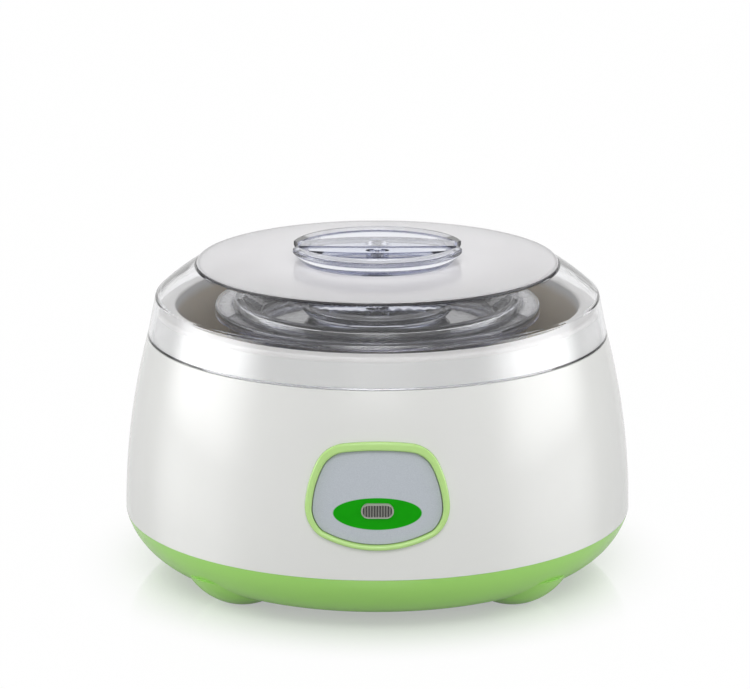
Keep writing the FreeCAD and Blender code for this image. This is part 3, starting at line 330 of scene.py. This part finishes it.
def metal(name, colour, roughness, stretch, grain=260.0):
    """Worked metal with fine marks along the way it was rolled, drawn or turned."""
    made, tree, shader = material(name)
    marks = noise(tree, grain, detail=6.0, stretch=stretch)
    tree.links.new(worked(tree, marks, colour), shader.inputs["Base Color"])
    tree.links.new(spread(tree, marks, low=roughness * 0.7, high=roughness * 1.4), shader.inputs["Roughness"])
    setting(shader, Metallic=1.0)
    bump(tree, shader, marks, strength=0.05, distance=0.0003)
    return made


def drawn_pot_with_painted_light(name, floor, wall):
    """Deep-drawn steel with marks along the draw, a painted reflection making its floor bright and painted
    shade making its wall darker.
    """
    made = metal(name, floor, roughness=0.25, stretch=UPWARD)
    tree = made.node_tree
    marks = noise(tree, scale=260.0, detail=6.0, stretch=UPWARD)
    # Painted light: bright painted reflection on the floor, painted shade up the wall.
    up_wall = climb(tree, height(tree), foot=POT_FLOOR_TOP, top=POT_WALL_FOOT)
    both = blend(tree, up_wall, worked(tree, marks, floor), worked(tree, marks, wall))
    tree.links.new(both, tree.nodes["Principled BSDF"].inputs["Base Color"])
    return made


def panel_face(name):
    """Silver lacquer with a fine metallic sparkle, and the printed green oval round the window."""
    made, tree, shader = material(name)
    flake = noise(tree, scale=2600.0, detail=2.0)
    silver = shade(tree, flake, SILVER_DARK, SILVER_LIGHT)
    green = shade(tree, noise(tree, scale=300.0), PRINT_DARK, PRINT_LIGHT)
    axes = axes_of(tree)
    across = work(tree, "DIVIDE", axes["X"], OVAL_HALF_WIDTH)
    upward = work(tree, "DIVIDE", work(tree, "SUBTRACT", axes["Z"], OVAL_HEIGHT), OVAL_HALF_HEIGHT)
    outside = climb(tree, length_of(tree, across, upward), foot=0.985, top=1.015)
    tree.links.new(blend(tree, outside, green, silver), shader.inputs["Base Color"])
    tree.links.new(spread(tree, flake, low=0.32, high=0.5), shader.inputs["Roughness"])
    setting(shader, Specular_IOR_Level=0.12)
    bump(tree, shader, flake, strength=0.03, distance=0.0002)
    return made


def ribbed_window(name):
    """Smoky clear plastic with painted shade down in its upright grooves, and a plain pale edge."""
    made, tree, shader = material(name)
    axes = axes_of(tree)
    # Painted shade: stripes at the rib pitch darken the grooves.
    wave = work(tree, "COSINE", work(tree, "MULTIPLY", axes["X"], 2 * math.pi / RIB_PITCH))
    painted_groove_shade = shade(tree, climb(tree, wave, foot=-0.5, top=0.5), RIB_TOP, RIB_GROOVE_PAINTED_SHADE)
    pale = shade(tree, noise(tree, scale=900.0, detail=2.0), WINDOW_EDGE_DARK, WINDOW_EDGE_LIGHT)
    straight = WINDOW_HALF_WIDTH - WINDOW_HALF_HEIGHT
    overhang = work(tree, "SUBTRACT", work(tree, "ABSOLUTE", axes["X"]), straight)
    beyond = work(tree, "MAXIMUM", overhang, 0.0)
    upward = work(tree, "SUBTRACT", axes["Z"], WINDOW_HEIGHT)
    inner = WINDOW_HALF_HEIGHT - WINDOW_EDGE
    edge = climb(tree, length_of(tree, beyond, upward),
                 foot=inner - WINDOW_EDGE_FADE, top=inner + WINDOW_EDGE_FADE)
    tree.links.new(blend(tree, edge, painted_groove_shade, pale), shader.inputs["Base Color"])
    tree.links.new(spread(tree, noise(tree, scale=400.0), low=0.12, high=0.25), shader.inputs["Roughness"])
    setting(shader, Transmission_Weight=0.3)
    bump(tree, shader, noise(tree, scale=500.0, detail=2.0), strength=0.02, distance=0.0003)
    return made


def dress(look, *names):
    """Gives CAD nodes their finish."""
    for name in names:
        slots = nodes[name].data.materials
        slots.clear()
        slots.append(look)


def dress_outside():
    """The finishes that show with every piece in its place."""
    dress(moulded("white_gloss", WHITE, roughness=0.24, coat=0.6), "housing_shell")
    dress(well_moulding_with_painted_shade("liner_white", RIM_WHITE, WELL_PAINTED_SHADE), "inner_liner")
    dress(moulded("green_gloss", GREEN, roughness=0.24, coat=0.25), "base_cover")
    dress(moulded("pale_green_gloss", PALE_GREEN, roughness=0.24, coat=0.25), "panel_bezel")
    dress(panel_face("panel_silver"), "panel_plate")
    dress(ribbed_window("window_smoky"), "indicator_lens")
    lid = clear("lid_clear", CLEAR, CLEAR_PAINTED_EDGE_SHADE, LID_EDGE, density=8.0)
    dress(frosted_disc(lid, FROST), "outer_lid")
    dress(clear("knob_clear", CLEAR, DARK_PAINTED_EDGE_SHADE, KNOB_EDGE, density=26.0), "lid_knob", "pot_lid_knob")
    dress(clear("pot_lid_clear", CLEAR, DARK_PAINTED_EDGE_SHADE, POT_LID_EDGE, density=14.0), "pot_lid")
    dress(drawn_pot_with_painted_light("drawn_steel", POT_FLOOR_PAINTED_REFLECTION, POT_WALL_PAINTED_SHADE), "pot")
    dress(moulded("gland_rubber", GLAND_RUBBER, roughness=0.55, grain=700.0, depth=0.1), "cord_gland")
    dress(moulded("foot_rubber", FOOT_RUBBER, roughness=0.7, grain=700.0, depth=0.15), "foot_pads")


def dress_inside():
    """The finishes of the heater, the wiring, the lamp and the screws."""
    dress(clear("lamp_glass", LAMP_GLASS, LAMP_GLASS_PAINTED_EDGE_SHADE, LAMP_EDGE, roughness=0.03), "indicator_lamp")
    dress(metal("rolled_aluminium", ALUMINIUM, roughness=0.35, stretch=ALONG_Y), "heater_plate")
    dress(metal("spring_steel", SPRING_STEEL, roughness=0.3, stretch=ALONG_X), "heater_clamp", "fuse_clip")
    dress(metal("zinc_screw", ZINC, roughness=0.28, stretch=TURNED, grain=600.0),
          "clamp_screws", "base_screws", "lid_knob_screw", "pot_lid_knob_screw", "thermal_fuse")
    dress(metal("terminal_brass", BRASS, roughness=0.3, stretch=TURNED, grain=600.0), "terminal_screws")
    dress(moulded("heater_silicone", SILICONE, roughness=0.6, grain=500.0, depth=0.2), "heater_pad")
    dress(moulded("inner_moulding", INNER_PLASTIC, roughness=0.5), "terminal_block", "lamp_holder")
    dress(moulded("wire_sheath", WIRE_SHEATH, roughness=0.4), "heater_leads", "lamp_leads")


def make_floor():
    """A wide polished pale sheet that keeps the object's shadow and mirror image, and is white elsewhere."""
    bpy.ops.mesh.primitive_plane_add(size=12)
    floor = bpy.context.object
    floor.name = "floor"
    made, tree, shader = material("floor_white")
    path = add(tree, "ShaderNodeLightPath").outputs
    tone = shade(tree, path["Is Camera Ray"], FLOOR_UNSEEN, FLOOR_SEEN)
    tree.links.new(tone, shader.inputs["Base Color"])
    setting(shader, Roughness=0.08, Specular_IOR_Level=0.8)
    setting(shader, Coat_Weight=1.0, Coat_Roughness=0.05, Coat_IOR=1.8)
    bump(tree, shader, noise(tree, scale=40.0), strength=0.01, distance=0.0004)
    glow = add(tree, "ShaderNodeEmission")
    axes = axes_of(tree)
    away = climb(tree, length_of(tree, axes["X"], axes["Y"]), foot=SHADOW_INSIDE, top=SHADOW_OUTSIDE)
    share = spread(tree, away, low=0.4, high=0.985)
    eye = work(tree, "MAXIMUM", path["Is Camera Ray"], path["Is Transmission Ray"])
    mirrored = work(tree, "MULTIPLY", path["Is Glossy Ray"], 0.4)
    direct = work(tree, "MAXIMUM", eye, mirrored)
    mixed = add(tree, "ShaderNodeMixShader")
    tree.links.new(work(tree, "MULTIPLY", direct, share), mixed.inputs["Fac"])
    tree.links.new(shader.outputs["BSDF"], mixed.inputs[1])
    tree.links.new(glow.outputs["Emission"], mixed.inputs[2])
    tree.links.new(mixed.outputs["Shader"], tree.nodes["Material Output"].inputs["Surface"])
    floor.data.materials.append(made)


def make_world(fill, room):
    """A white backdrop to the eye and through clear pieces, a greyer room in mirrors, and a soft fill."""
    world = bpy.data.worlds.new("studio")
    bpy.context.scene.world = world
    world.use_nodes = True
    tree = world.node_tree
    sky = tree.nodes["Background"]
    sky.inputs["Color"].default_value = (1, 1, 1, 1)
    backdrop = climb(tree, axes_of(tree, "Generated")["Y"], foot=0.8, top=0.95)
    path = add(tree, "ShaderNodeLightPath").outputs
    shown = work(tree, "MULTIPLY", path["Is Glossy Ray"], spread(tree, backdrop, low=room, high=1.0))
    through = work(tree, "MULTIPLY", path["Is Transmission Ray"], spread(tree, backdrop, low=0.95, high=1.0))
    lit = work(tree, "MAXIMUM", work(tree, "MAXIMUM", shown, through), fill)
    tree.links.new(work(tree, "MAXIMUM", lit, path["Is Camera Ray"]), sky.inputs["Strength"])


def softbox(name, place_at, target, width, tall, power):
    """A wide lamp that fades towards its edges, so that its mirror image has no hard border."""
    light = bpy.data.lights.new(name, "AREA")
    light.shape = "RECTANGLE"
    light.size = width
    light.size_y = tall
    light.energy = power
    light.use_nodes = True
    tree = light.node_tree
    axes = split(tree, add(tree, "ShaderNodeNewGeometry").outputs["Parametric"])
    fade = 1.0
    for axis in ("X", "Y"):
        for border, inside in ((0.0, 0.4), (1.0, 0.6)):
            fade = work(tree, "MULTIPLY", fade, climb(tree, axes[axis], foot=border, top=inside))
    tree.links.new(spread(tree, fade, low=0.0, high=2.6), tree.nodes["Emission"].inputs["Strength"])
    lamp = bpy.data.objects.new(name, light)
    bpy.context.collection.objects.link(lamp)
    lamp.location = place_at
    lamp.rotation_euler = (Vector(target) - Vector(place_at)).to_track_quat("-Z", "Y").to_euler()


def make_lamps():
    """Two boxes beside the object, one above its front and a weaker one behind the camera's place."""
    softbox("left_box", (-1.0, -0.05, 0.2), SEAM_POINT, width=1.4, tall=0.6, power=4.0)
    softbox("right_box", (1.0, -0.1, 0.2), SEAM_POINT, width=1.4, tall=0.6, power=3.6)
    softbox("front_box", (0, -1.0, 1.2), HOUSING_POINT, width=1.4, tall=0.8, power=8.2)
    softbox("fill_box", (0, -1.7, 0.7), HOUSING_POINT, width=1.4, tall=0.7, power=2.6)


def make_camera():
    """The photograph's view."""
    lens = bpy.data.cameras.new("photo_camera")
    lens.lens = FOCAL_LENGTH
    lens.sensor_width = SENSOR_WIDTH
    lens.sensor_fit = "HORIZONTAL"
    lens.shift_x = SHIFT_RIGHT
    lens.shift_y = SHIFT_UP
    camera = bpy.data.objects.new("photo_camera", lens)
    bpy.context.collection.objects.link(camera)
    line = Vector((0, -math.cos(VIEW_ELEVATION), math.sin(VIEW_ELEVATION)))
    camera.location = BODY_MIDDLE + line * VIEW_DISTANCE
    camera.rotation_euler = (-line).to_track_quat("-Z", "Y").to_euler()
    bpy.context.scene.camera = camera


dress_outside()
dress_inside()
make_floor()
make_world(fill=0.5, room=0.4)
make_lamps()
make_camera()
bpy.context.scene.view_settings.view_transform = "Standard"
